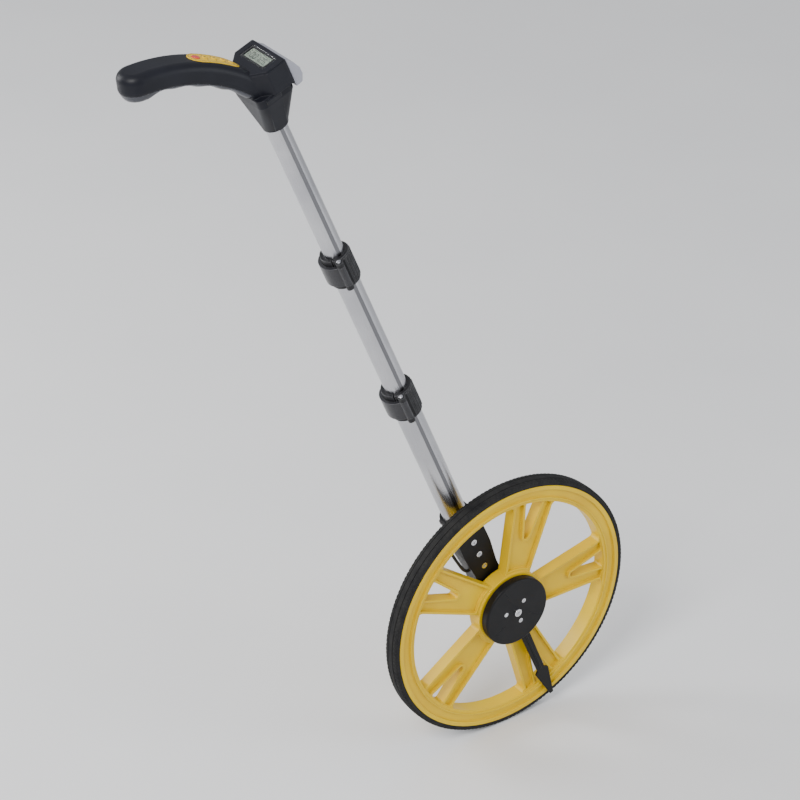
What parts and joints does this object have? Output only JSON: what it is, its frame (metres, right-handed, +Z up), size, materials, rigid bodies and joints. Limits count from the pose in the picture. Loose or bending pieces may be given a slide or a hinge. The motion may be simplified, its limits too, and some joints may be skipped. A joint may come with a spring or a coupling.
{
  "type": "measuring wheel",
  "caption": "Telescopic measuring wheel: forked-spoke wheel with ground pointer and sensor bracket, flip-lock tube pole, arched grip with display head and keypad.",
  "frame": {"origin": "point under the axle where the tyre meets the ground, in the middle of the tyre's width", "axes": "+Z up; +X along the ground in the plane of the wheel, away from the handle; +Y from the wheel towards the pole, along the axle"},
  "size_m": [0.6148, 0.0792, 0.8999],
  "materials": {
    "tyre_rubber": "matte, fine cross ribs",
    "yellow_plastic": "moulded, satin gloss",
    "black_plastic": "fine moulded texture",
    "handle_plastic": "fine moulded texture",
    "lever_plastic": "satin",
    "grey_plastic": "satin",
    "grey_nylon": "satin",
    "red_plastic": "satin gloss",
    "aluminium": "satin anodised",
    "bearing_steel": "ground",
    "zinc_steel": "zinc plated",
    "magnet": "nickel plated",
    "cable_rubber": "matte",
    "circuit_green": "solder mask",
    "flex_circuit": "film",
    "clear_window": "clear, glossy",
    "display_grey": "matte film",
    "battery_sleeve": "gloss sleeve"
  },
  "bodies": {
    "handle": {"upper_tube": "aluminium", "upper_guide_bush": "grey_nylon", "handle_top_shell": "handle_plastic", "handle_bottom_shell": "handle_plastic", "handle_screws": "zinc_steel", "tube_screw": "zinc_steel", "display_window": "clear_window", "display_module": "display_grey", "circuit_board": "circuit_green", "batteries": "battery_sleeve", "battery_contacts": "zinc_steel", "keypad_panel": "yellow_plastic", "key_circuit": "flex_circuit", "switch_domes": "zinc_steel", "cable_coil_upper": "cable_rubber"},
    "middle_pole": {"middle_tube": "aluminium", "middle_guide_bush": "grey_nylon", "upper_clamp_collar": "black_plastic", "upper_clamp_sleeve": "grey_nylon", "upper_clamp_pin": "zinc_steel"},
    "upper_lever": {"upper_clamp_lever": "lever_plastic"},
    "lower_pole": {"lower_tube": "aluminium", "lower_clamp_collar": "black_plastic", "lower_clamp_sleeve": "grey_nylon", "lower_clamp_pin": "zinc_steel", "cable_coil_lower": "cable_rubber", "sensor_cable": "cable_rubber", "cable_grommet": "cable_rubber", "sensor_board": "circuit_green", "bracket_front": "black_plastic", "bracket_rear": "black_plastic", "bracket_screws": "zinc_steel", "bracket_nuts": "zinc_steel", "axle": "bearing_steel", "axle_nut": "zinc_steel", "axle_washers": "zinc_steel", "axle_screw": "zinc_steel", "bearing_inner_rings": "bearing_steel", "bearing_spacer": "bearing_steel", "pointer": "black_plastic", "hub_cover": "black_plastic", "cover_screws": "zinc_steel"},
    "lower_lever": {"lower_clamp_lever": "lever_plastic"},
    "wheel": {"wheel": "yellow_plastic", "tyre": "tyre_rubber", "bearing_outer_rings": "bearing_steel", "bearing_balls": "bearing_steel", "encoder_magnets": "magnet"},
    "battery_door": {"battery_door": "grey_plastic"},
    "power_button": {"power_button": "red_plastic"},
    "key_1": {"key_1": "yellow_plastic"},
    "key_2": {"key_2": "yellow_plastic"},
    "key_3": {"key_3": "yellow_plastic"},
    "key_4": {"key_4": "yellow_plastic"}
  },
  "joints": [
    {"name": "upper_slide", "type": "slide", "parent": "handle", "child": "middle_pole", "axis": [-0.4067, 0, 0.9135], "range_m": [0, 0.168], "deforming": ["cable_coil_upper"]},
    {"name": "lower_slide", "type": "slide", "parent": "middle_pole", "child": "lower_pole", "axis": [-0.4067, 0, 0.9135], "range_m": [0, 0.155], "deforming": ["cable_coil_lower"]},
    {"name": "wheel_spin", "type": "hinge", "parent": "lower_pole", "child": "wheel", "pos_m": [0, 0, 0.15915], "axis": [0, 1, 0], "continuous": true},
    {"name": "upper_clamp_hinge", "type": "hinge", "parent": "middle_pole", "child": "upper_lever", "pos_m": [-0.21744, 0.01237, 0.63265], "axis": [-0.4067, 0, 0.9135], "range_deg": [0, 115]},
    {"name": "lower_clamp_hinge", "type": "hinge", "parent": "lower_pole", "child": "lower_lever", "pos_m": [-0.13819, 0.01096, 0.45338], "axis": [-0.4067, 0, 0.9135], "range_deg": [0, 115]},
    {"name": "battery_door_pull", "type": "slide", "parent": "handle", "child": "battery_door", "axis": [0.9135, 0, 0.4067], "range_m": [0, 0.03]},
    {"name": "power_button_press", "type": "slide", "parent": "handle", "child": "power_button", "axis": [-0.2357, 0, -0.9718], "range_m": [0, 0.0008], "stiffness_N_per_m": 400, "springref_m": -0.0005},
    {"name": "key_1_press", "type": "slide", "parent": "handle", "child": "key_1", "axis": [-0.2893, 0, -0.9572], "range_m": [0, 0.0008], "stiffness_N_per_m": 400, "springref_m": -0.0005},
    {"name": "key_2_press", "type": "slide", "parent": "handle", "child": "key_2", "axis": [-0.342, 0, -0.9397], "range_m": [0, 0.0008], "stiffness_N_per_m": 400, "springref_m": -0.0005},
    {"name": "key_3_press", "type": "slide", "parent": "handle", "child": "key_3", "axis": [-0.3937, 0, -0.9193], "range_m": [0, 0.0008], "stiffness_N_per_m": 400, "springref_m": -0.0005},
    {"name": "key_4_press", "type": "slide", "parent": "handle", "child": "key_4", "axis": [-0.4441, 0, -0.896], "range_m": [0, 0.0008], "stiffness_N_per_m": 400, "springref_m": -0.0005}
  ]
}
